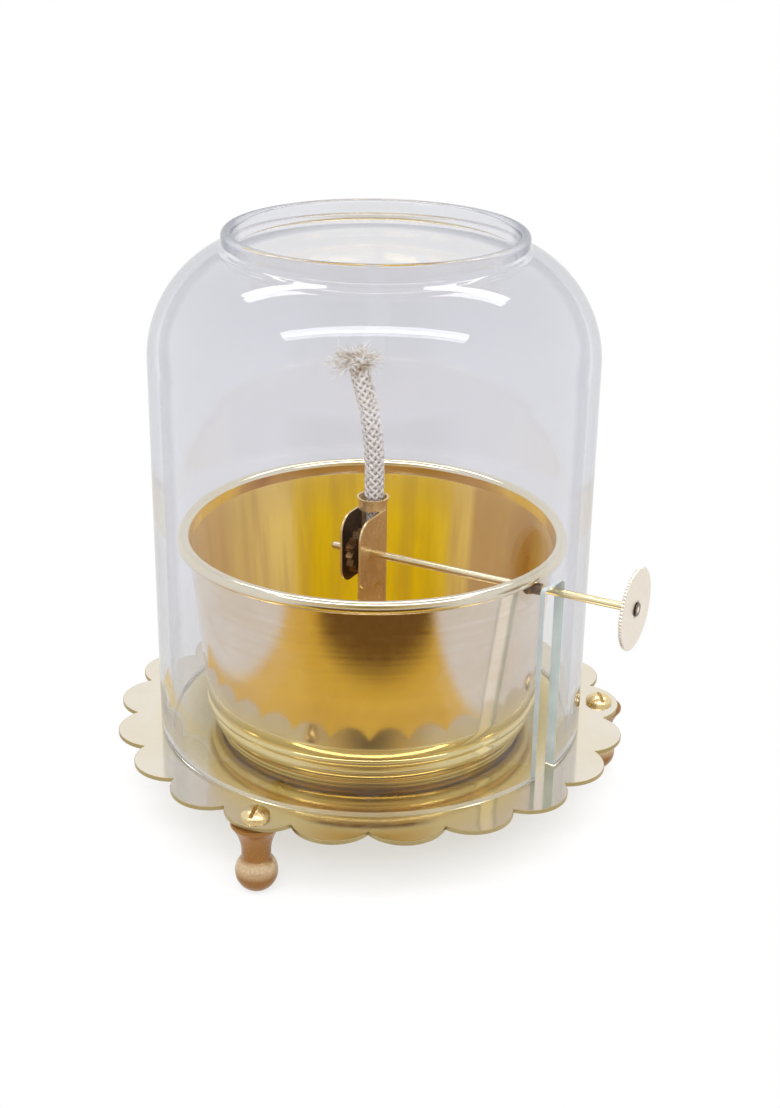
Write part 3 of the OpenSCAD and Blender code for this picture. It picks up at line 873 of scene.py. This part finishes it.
@dataclass
class Chimney(Part):
    """The glass chimney with its shoulder, lip and spindle slot."""

    outer: float = 60.6
    wall: float = 3.0
    foot_z: float = 21.4
    height: float = 140.5
    shoulder: float = 32.0
    lip: float = 40.5
    lip_height: float = 4.4
    neck_round: float = 2.0
    foot_gap: float = 0.15
    slot_half: float = 4.75
    slot_top_z: float = 77.6
    slot_corner: float = 1.5
    slot_turn: float = -10.085
    patch: float = 16.0
    patch_over: float = 12.0

    ROWS = 27
    LAYERS = 7
    AROUND = 150

    def _slot_outline(self) -> Profile:
        """Returns the slot's outline, across and up, from one foot over the top to the other."""
        a, r, top = self.slot_half, self.slot_corner, self.slot_top_z
        left = [(-a, z) for z in between(self.foot_z + self.foot_gap, top - r, 24)[:-1]]
        left += arc((-a + r, top - r), r, 180, 90, 6)
        over = [(x, top) for x in between(-a + r, a - r, 8)[1:-1]]
        return left + over + [(-x, z) for x, z in reversed(left)]

    def _frame_outline(self, slot: Profile) -> Profile:
        """Returns the outline of the sheet round the slot, point for point.

        Args:
            slot: The slot's outline.
        """
        top = self.slot_top_z + self.patch_over
        left = [(-self.patch, z) for z in between(self.foot_z + self.foot_gap, top, self.ROWS)]
        steps = len(slot) - 1 - 2 * self.ROWS
        over = [(x, top) for x in between(-self.patch, self.patch, steps)[1:-1]]
        return left + over + [(-x, z) for x, z in reversed(left)]

    def _on_wall(self, across: float, z: float, radius: float) -> Vector:
        """Returns a point of the straight wall, in metres, so far from the slot's middle plane."""
        turn = asin(across / radius) + radians(self.slot_turn)
        return ring(radius, [turn], z)[0]

    def _wall_turns(self, radius: float) -> list[float]:
        """Returns the angles round a face of the wall, from one side of the slot's sheet to the other."""
        start, base = asin(self.patch / radius), radians(self.slot_turn)
        return [t + base for t in between(start, 2 * pi - start, self.AROUND)]

    def _straight_face(self, bm: Mesh, radius: float) -> list[float]:
        """Adds one face of the straight wall, with the slot left open.

        Args:
            bm: The mesh that it is added to.
            radius: Radius of the face.

        Returns:
            The angles of the points along its upper edge.
        """
        slot = self._slot_outline()
        rim = self._frame_outline(slot)
        sheet: Grid = []
        for share in between(0.0, 1.0, self.LAYERS):
            points = [Vector(a).lerp(Vector(b), share) for a, b in zip(slot, rim)]
            sheet.append([self._on_wall(*point, radius) for point in points])
        grid_faces(bm, sheet)
        turns = self._wall_turns(radius)
        grid_faces(bm, [ring(radius, turns, z) for x, z in rim[:self.ROWS + 1]])
        base = radians(self.slot_turn)
        over = [asin(x / radius) + base for x, z in rim[self.ROWS:-self.ROWS]]
        return over[:-1] + turns[:-1]

    def _neck(self, radius: float, shoulder: float) -> Span:
        """Returns where the rounding between shoulder and lip lies.

        Args:
            radius: Radius of the lip's face.
            shoulder: Radius of the shoulder's face.

        Returns:
            Its height over the shoulder's middle, and the angle where the shoulder's arc ends.
        """
        across = radius + self.neck_round - (self.outer - self.shoulder)
        rise = sqrt((shoulder + self.neck_round) ** 2 - across ** 2)
        return rise, degrees(atan2(rise, across))

    def make(self) -> None:
        """Makes the chimney."""
        bm = bmesh.new()
        inner = self.outer - self.wall
        outside = self._straight_face(bm, self.outer)
        inside = self._straight_face(bm, inner)
        centre_r = self.outer - self.shoulder
        rise = sqrt(self.shoulder ** 2 - (self.lip - centre_r) ** 2)
        centre_z = self.foot_z + self.height - self.lip_height - rise
        top_z = self.foot_z + self.height
        half = self.wall / 2
        small = self.shoulder - self.wall
        bore = self.lip - self.wall
        neck_z, stop = self._neck(self.lip, self.shoulder)
        bore_z, stop_in = self._neck(bore, small)
        ease = self.neck_round
        low = self.slot_top_z + self.patch_over
        up = [(self.outer, z) for z in between(low, centre_z, 6)[:-1]]
        up += arc((centre_r, centre_z), self.shoulder, 0, stop, 28)
        up += arc((self.lip + ease, centre_z + neck_z), ease, 180 + stop, 180, 8)[1:]
        over = arc((self.lip - half, top_z - half), half, 0, 90, 8)
        back = arc((self.lip - half, top_z - half), half, 90, 180, 8)
        down = arc((bore + ease, centre_z + bore_z), ease, 180, 180 + stop_in, 8)
        down += arc((centre_r, centre_z), small, stop_in, 0, 28)[1:]
        down += [(inner, z) for z in between(centre_z, low, 6)[1:]]
        rows = [ring(r, outside, z) for r, z in up + over] + [ring(r, inside, z) for r, z in back + down]
        grid_faces(bm, rows, closed=True)
        faces = (self.outer, inner)
        slot = self._slot_outline()
        grid_faces(bm, [[self._on_wall(x, z, r) for x, z in slot] for r in faces], number=1)
        rim = self._frame_outline(slot)
        low = rim[0][1]
        for side in (0, -1):
            foot = between(slot[side][0], rim[side][0], self.LAYERS)
            grid_faces(bm, [[self._on_wall(x, low, r) for x in foot] for r in faces], number=2)
        grid_faces(bm, [ring(r, self._wall_turns(r), low) for r in faces], number=2)
        seal(bm, 2e-5)
        for face in bm.faces:
            if face.calc_center_median().z > (centre_z + neck_z) * MM:
                face.material_index = 3
        self.piece("chimney_glass", bm, [GLASS, EDGE, FOOT, LIP], Body.GLASS, ["chimney"], 40)


@dataclass
class OilBowl(Part):
    """The spun bowl with its rolled rim, its foot ring and the soldered bush."""

    rim_z: float = 79.8
    foot_z: float = 23.8
    wall: float = 1.0
    mouth: float = 51.5
    waist: float = 47.0
    waist_z: float = 31.0
    rim_roll: float = 1.8
    rim_middle: float = 52.6
    low_roll: float = 2.4
    fine_roll: float = 1.2
    low_reach: float = 46.2
    fine_reach: float = 47.3
    corner: float = 8.0
    sides: int = 256
    inward: float = 0.35
    blob_half: Point = (1.2, 2.3, 1.7)
    blob_at: Point = (50.9, -8.4, 74.4)
    blob_seed: int = 5

    def profile(self) -> Profile:
        """Returns the bowl's half section, from the middle of its underside round to its inner floor."""
        rim_z = self.rim_z - self.rim_roll
        slope = (self.mouth - self.waist) / (rim_z - self.waist_z)
        low_x = self.low_reach - self.low_roll
        fine_x = self.fine_reach - self.fine_roll
        points: Profile = [(0.0, self.foot_z), (20.0, self.foot_z)]
        points += arc((low_x, self.foot_z + self.low_roll), self.low_roll, -90, 66, 16)
        points += arc((fine_x, self.waist_z - self.fine_roll), self.fine_roll, -64, 74, 12)
        points += [(self.waist + slope * h, self.waist_z + h) for h in (0.6, 4, 12, 22, 32, 40)]
        points += arc((self.rim_middle, rim_z), self.rim_roll, -128, 190, 26)
        inner = self.mouth - self.wall
        points += [(inner - slope * h, rim_z - h) for h in (2.2, 6, 14, 24, 34)]
        floor_z = self.foot_z + self.wall
        corner_z = floor_z + self.corner
        corner_x = self.waist + slope * (corner_z - self.waist_z) - self.wall
        points += arc((corner_x - self.corner, corner_z), self.corner, 0, -90, 10)
        points += [(30.0, floor_z), (10.0, floor_z), (0.0, floor_z)]
        return points

    def blob(self) -> Mesh:
        """Returns the lump of solder where the bush enters the wall."""
        chance = random.Random(self.blob_seed)
        bm = bmesh.new()
        bmesh.ops.create_icosphere(bm, subdivisions=3, radius=1.0)
        for vert in bm.verts:
            swell = 1 + 0.16 * sin(5 * vert.co.x + 3 * vert.co.z) + chance.uniform(-0.05, 0.05)
            vert.co = (vert.co * Vector(self.blob_half) * swell + Vector(self.blob_at)) * MM
        axes = {f"use_axis_{axis}": True for axis in "xyz"}
        bmesh.ops.smooth_vert(bm, verts=bm.verts, factor=0.4, **axes)
        return bm

    def make(self) -> None:
        """Makes the bowl, its foot, its bush and the solder."""
        spun = turned(self.profile(), self.sides)
        spun.normal_update()
        for face in spun.faces:
            middle = face.calc_center_median()
            inward = face.normal.xy.dot(middle.xy) < -self.inward * middle.xy.length
            face.material_index = int(inward and middle.z < (self.rim_z - 2 * self.rim_roll) * MM)
        self.piece("bowl_spun", spun, [BOWL, INSIDE], Body.LAMP, ["bowl"], 42)
        self.eased("bowl_foot", BOWL, Body.LAMP, 0.2)
        self.eased("spindle_bush", DARK, Body.LAMP, 0.08)
        self.piece("bush_solder", self.blob(), [SOLDER], Body.LAMP, (), 80)


@dataclass
class Stand(Part):
    """The scalloped plate, its legs and the fasteners under and over it."""

    ring: float = 67.5
    first_turn: float = 31.9
    height: float = 20.2
    top: float = 6.7
    band: float = 0.9
    waist: float = 3.9
    waist_rise: float = 1.6
    ball: float = 5.7
    sole: float = 2.5
    plate_z: float = 21.4
    head: float = 3.8
    head_rim: float = 0.8
    dome: float = 1.7
    slot: float = 1.1
    slot_depth: float = 1.3
    shank: float = 2.0
    grip: float = 13.2

    SLOT_TURNS = (131.0, 62.0, 99.0)
    LEG_SIDES = 72
    SCREW_SIDES = 64

    def leg_profile(self) -> Profile:
        """Returns a leg's half section, from the middle of its sole to the middle of its top."""
        ball_z = sqrt(self.ball ** 2 - self.sole ** 2)
        start = -degrees(asin(ball_z / self.ball))
        end = degrees(acos(self.waist / self.ball))
        points: Profile = [(0.0, 0.0)] + arc((0.0, ball_z), self.ball, start, end, 22)
        waist_z = points[-1][1] + self.waist_rise
        rise = self.height - self.band - waist_z
        flare = self.top - self.waist
        radius = (rise ** 2 + flare ** 2) / (2 * flare)
        points += [(self.waist, points[-1][1] + 0.25)]
        end = 180 - degrees(asin(rise / radius))
        points += arc((self.waist + radius, waist_z), radius, 180, end, 14)
        points += [(self.top, self.height - 0.25), (self.top - 0.2, self.height), (0.0, self.height)]
        return points

    def _crown(self, away: float) -> float:
        """Returns the height of a screw's domed head at a distance from its middle."""
        radius = (self.head ** 2 + self.dome ** 2) / (2 * self.dome)
        return self.head_rim + self.dome - radius + sqrt(max(radius ** 2 - away ** 2, 0.0))

    def _leg(self, number: int, z: float = 0.0) -> Vector:
        """Returns the middle of a leg at some height."""
        return ring(self.ring, [radians(self.first_turn + 120 * number)], z)[0] / MM

    def screws(self) -> Mesh:
        """Returns the three slotted screws that hold the legs."""
        bm = bmesh.new()
        half = self.slot / 2
        out = [half + (self.head - half) * sin(pi / 2 * k / 18) for k in range(19)]
        columns = [(-x, False) for x in reversed(out)] + [(-half, True), (half, True)]
        columns += [(x, False) for x in out]
        head, rim = self.head, self.head_rim
        deep = rim + self.dome - self.slot_depth
        side = [(0.0, -self.grip), (self.shank, -self.grip), (self.shank, 0.0), (head, 0.0),
                (head, rim - 0.2), (head - 0.06, rim), (head - 0.5, rim + 0.2)]
        for i, slot_turn in enumerate(self.SLOT_TURNS):
            middle = self._leg(i, self.plate_z)
            spin = Matrix.Rotation(radians(slot_turn - 90), 3, "Z")
            rows: Grid = []
            for x, sunk in columns:
                reach = sqrt(max(self.head ** 2 - x ** 2, 0.0))
                row = []
                for j in range(25):
                    y = reach * sin(pi / 2 * (j - 12) / 12)
                    z = self._crown(hypot(x, y))
                    row.append((middle + spin @ Vector((x, y, min(z, deep) if sunk else z))) * MM)
                rows.append(row)
            grid_faces(bm, rows)
            grid_faces(bm, [ring(r, full_turn(self.SCREW_SIDES), z, middle) for r, z in side], closed=True)
        seal(bm)
        return bm

    def make(self) -> None:
        """Makes the plate, the legs and the fasteners."""
        # its upright edges take the painted edge shade
        self.eased("base_plate", PLATE, Body.LAMP, 0.14, EDGE_SHADE)
        for i in range(3):
            name = f"leg_{i + 1}"
            leg = turned(self.leg_profile(), self.LEG_SIDES, self._leg(i))
            self.piece(name + "_turned", leg, [LEG], Body.LAMP, [name], 40)
        self.piece("leg_screws_turned", self.screws(), [SCREW], Body.LAMP, ["leg_screws"], 30)
        for node in ("bowl_stud", "stud_washer", "stud_nut"):
            self.eased(node, SCREW, Body.LAMP, 0.15)


@dataclass
class Burner(Part):
    """The wick tube with its cheeks, its base, and the wheel, spindle and knob that feed the wick."""

    fine: float = 0.08
    rounded: float = 0.15
    cheek_y: float = -4.0

    def make(self) -> None:
        """Makes the burner's pieces."""
        tube = self.eased("wick_tube", TUBE, Body.LAMP, self.rounded)
        # painted shade: the left cheek's inner face, which faces the wheel across the narrow gap, takes the
        # dark finish
        tube.data.materials.append(self.material(DARK))
        for face in tube.data.polygons:
            if face.normal.x > 0.9 and face.center.x < 0 and face.center.y < self.cheek_y * MM:
                face.material_index = 1
        self.eased("tube_base", TUBE, Body.LAMP, self.rounded)
        self.eased("feed_wheel", DARK, Body.FEED, self.fine)
        self.eased("spindle", ROD, Body.FEED, self.fine)
        self.eased("knob", KNOB, Body.FEED, self.rounded)
        self.eased("knob_collar", ROD, Body.FEED, self.rounded)


@dataclass
class Studio:
    """The camera, the pale floor, the soft light and the sheets that only show in metal and glass.

    Lamps and the corners of sheets are given in metres.
    """

    eye: Point = (207.05, -392.7, 258.7)
    turn: float = 27.8
    yaw: float = 0.0112
    down: float = 0.402
    roll: float = 0.016
    lens: float = 55.72
    ambient: float = 0.92
    strip: Span = (1.7, 0.12)
    strip_near: Span = (0.42, -0.50)
    strip_z: float = 1.15
    strip_watts: float = 5.0
    fill: Span = (0.7, 0.7)
    fill_place: Point = (0.75, 0.0, 0.85)
    fill_watts: float = 4.0
    gold: Colour = (1.0, 0.66, 0.09)
    brown: Colour = (0.18, 0.085, 0.02)
    umber: Colour = (0.24, 0.18, 0.07)
    sand: Colour = (0.80, 0.62, 0.26)
    paper: Colour = (0.97, 0.97, 0.97)
    board_off: float = 12.5
    board_ends: Span = (90.0, 99.0)
    dark_turn: float = 2.6
    dark_bow: float = 0.02
    dark_reach: Span = (114.0, 131.0)
    dark_aside: Span = (35.0, 27.0)
    floor_aside: Span = (26.0, 44.0)
    floor_near: Span = (170.0, 118.0)
    floor_far: Span = (250.0, 850.0)
    wall_middle: Span = (600.0, 430.0)
    wall_fades: Point = (60.0, 260.0, 700.0)

    def _at(self, near: float, right: float, z: float) -> Vector:
        """Returns the point that lies so far towards the camera, to its right and up."""
        return Matrix.Rotation(radians(self.turn), 3, "Z") @ Vector((right, -near, z))

    def camera(self) -> None:
        """Sets up the camera at the angle of the photograph."""
        view = Matrix.Translation(Vector(self.eye) * MM)
        heading = radians(self.turn) - self.yaw
        for angle, axis in ((heading, "Z"), (pi / 2 - self.down, "X"), (self.roll, "Z")):
            view = view @ Matrix.Rotation(angle, 4, axis)
        data = bpy.data.cameras.new("camera")
        data.lens = self.lens
        data.sensor_width = 36.0
        data.clip_start = 0.01
        camera = added("camera", data)
        camera.matrix_world = view
        bpy.context.scene.camera = camera

    def floor(self) -> None:
        """Lays the pale floor, which keeps the lamp's shadow and turns pure white farther out."""
        tree = Tree("floor_paper")
        cloud = tree.spread(tree.noise(0.02, 4.0), 0.0, 0.02)
        near = tree.add("BsdfDiffuse", {"Color": tree.blend(cloud, (0.95,) * 3, (0.90,) * 3)})
        far = tree.add("Emission", {"Color": (*WHITE, 1.0)})
        share = tree.times(tree.spread(tree.measure("DISTANCE"), 0.5, 1.0, 45.0, 92.0), tree.looked_at())
        shader = tree.add("MixShader", {0: share, 1: near.outputs[0], 2: far.outputs[0]})
        self._sheet("floor", [(-4, -4, 0), (4, -4, 0), (4, 4, 0), (-4, 4, 0)], tree.close(shader))

    def _floor_measures(self, tree: Tree) -> tuple[Socket, Socket, Socket]:
        """Returns how far a place lies towards the camera and to its right, and its turn."""
        near, right = [tree.measure("DOT_PRODUCT", self._at(*way)) for way in ((1, 0, 0), (0, 1, 0))]
        return near, right, tree.turn(right, near)

    def board(self) -> None:
        """Lays the warm board before the lamp, with the dark shape that shows low in the bowl."""
        tree = Tree("warm_board")
        _, right, turn = self._floor_measures(tree)
        aside = tree.maths("ABSOLUTE", tree.maths("SUBTRACT", turn, self.dark_turn))
        bow = tree.times(tree.times(aside, aside), self.dark_bow)
        reach = tree.maths("SUBTRACT", tree.measure("DISTANCE"), bow)
        dark = tree.times(tree.fade(reach, *self.dark_reach), tree.fade(aside, *self.dark_aside))
        tone = tree.blend(dark, self.gold, self.brown)
        off = tree.maths("ABSOLUTE", tree.maths("ADD", right, self.board_off))
        tone = tree.blend(tree.fade(off, *self.board_ends), tone, self.paper)
        edge = [(-0.05, 0.15), (0.15, 0.15), (0.15, -0.15), (-0.05, -0.15)]
        self._mirrored(tree, tone, [self._at(a, b, 0.0006) for a, b in edge], True)

    def dark_floor(self) -> None:
        """Lays the dark sheet farther out on the floor, which fades to white on all sides."""
        tree = Tree("dark_floor")
        near, _, turn = self._floor_measures(tree)
        aside = tree.maths("ABSOLUTE", turn)
        bare = tree.maths("LESS_THAN", tree.rays["Transmission Depth"], 0.5)
        tone = tree.blend(tree.fade(aside, *self.floor_aside), self.brown, WHITE)
        tone = tree.blend(tree.fade(near, *self.floor_far), tone, WHITE)
        tone = tree.blend(tree.times(tree.fade(near, *self.floor_near), bare), tone, WHITE)
        edge = [(0.118, 0.118), (0.9, 0.9), (0.9, -0.9), (0.118, -0.118)]
        self._mirrored(tree, tone, [self._at(a, b, 0.0003) for a, b in edge], False)

    def wall(self) -> None:
        """Sets up the warm wall behind the camera, darkest in its middle."""
        tree = Tree("warm_wall")
        away, z = self.wall_middle
        off = tree.measure("DISTANCE", self._at(away, 0.0, z))
        tone = tree.blend(tree.fade(off, *self.wall_fades[:2]), self.umber, self.sand)
        tone = tree.blend(tree.fade(off, *self.wall_fades[1:]), tone, WHITE)
        edge = [(-0.7, 0.08), (0.7, 0.08), (0.7, 1.0), (-0.7, 1.0)]
        self._mirrored(tree, tone, [self._at(away * MM, b, c) for b, c in edge], True)

    def _mirrored(self, tree: Tree, tone: Socket, corners: Sequence, behind_glass: bool) -> None:
        """Makes a sheet that only shows in polished metal and glass.

        Args:
            tree: The tree of its material, which gives it its name.
            tone: Its colour.
            corners: Its corners in order, in metres.
            behind_glass: Whether it only shows in metal behind the glass.
        """
        seen = tree.maths("GREATER_THAN", tree.rays["Glossy Depth"], 0.5)
        seen = tree.times(seen, tree.maths("LESS_THAN", tree.rays["Diffuse Depth"], 0.5))
        if behind_glass:
            seen = tree.times(seen, tree.maths("GREATER_THAN", tree.rays["Transmission Depth"], 0.5))
        clear, glow = tree.add("BsdfTransparent"), tree.add("Emission", {"Color": tone})
        shader = tree.add("MixShader", {0: seen, 1: clear.outputs[0], 2: glow.outputs[0]})
        sheet = self._sheet(tree.owner.name, corners, tree.close(shader))
        sheet.visible_camera = sheet.visible_diffuse = sheet.visible_shadow = False

    @staticmethod
    def _sheet(name: str, corners: Sequence, material: Material) -> Object:
        """Makes one flat sheet of the stage.

        Args:
            name: Its name.
            corners: Its corners in order, in metres.
            material: Its material.

        Returns:
            The new object.
        """
        mesh = bpy.data.meshes.new(name)
        mesh.from_pydata(corners, [], [tuple(range(len(corners)))])
        mesh.materials.append(material)
        sheet = added(name, mesh)
        return sheet

    def sky(self) -> None:
        """Sets the surrounding light: even, and white where it is looked at."""
        tree = Tree("studio", world=True)
        level = tree.spread(tree.looked_at(), self.ambient, 1.0, 0.0, 1.0)
        light = tree.add("Background", {"Color": (*WHITE, 1.0), "Strength": level})
        bpy.context.scene.world = tree.close(light)

    @staticmethod
    def lamp(name: str, place: Vector, aim_z: float, size: Span, watts: float) -> Object:
        """Hangs one soft lamp.

        Args:
            name: Its name.
            place: Where it hangs, in metres.
            aim_z: Height of the point of the axis that it faces.
            size: Its width and length, in metres.
            watts: Its power.

        Returns:
            The new lamp.
        """
        data = bpy.data.lights.new(name, "AREA")
        data.shape = "RECTANGLE"
        data.size, data.size_y = size
        data.energy = watts
        obj = added(name, data)
        obj.location = place
        aim = Vector((0.0, 0.0, aim_z)) - place
        obj.rotation_euler = aim.to_track_quat("-Z", "Y").to_euler()
        return obj

    def make(self) -> None:
        """Sets up camera, floor, sheets and light."""
        bpy.context.scene.view_settings.view_transform = "Standard"
        for step in (self.camera, self.floor, self.board, self.dark_floor, self.wall, self.sky):
            step()
        for name, near in zip(("front_strip", "back_strip"), self.strip_near):
            self.lamp(name, self._at(near, 0.0, self.strip_z), 0.12, self.strip, self.strip_watts)
        fill = self.lamp("front_fill", self._at(*self.fill_place), 0.08, self.fill, self.fill_watts)
        fill.visible_glossy = fill.visible_transmission = False


def main() -> None:
    """Sets up the studio and builds the lamp's sub-assemblies in order."""
    logging.basicConfig(level=logging.INFO, format="%(name)s: %(message)s")
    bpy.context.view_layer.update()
    Studio().make()
    for part in (Wick(), Chimney(), OilBowl(), Stand(), Burner()):
        part.make()


if __name__ == "__main__":
    main()
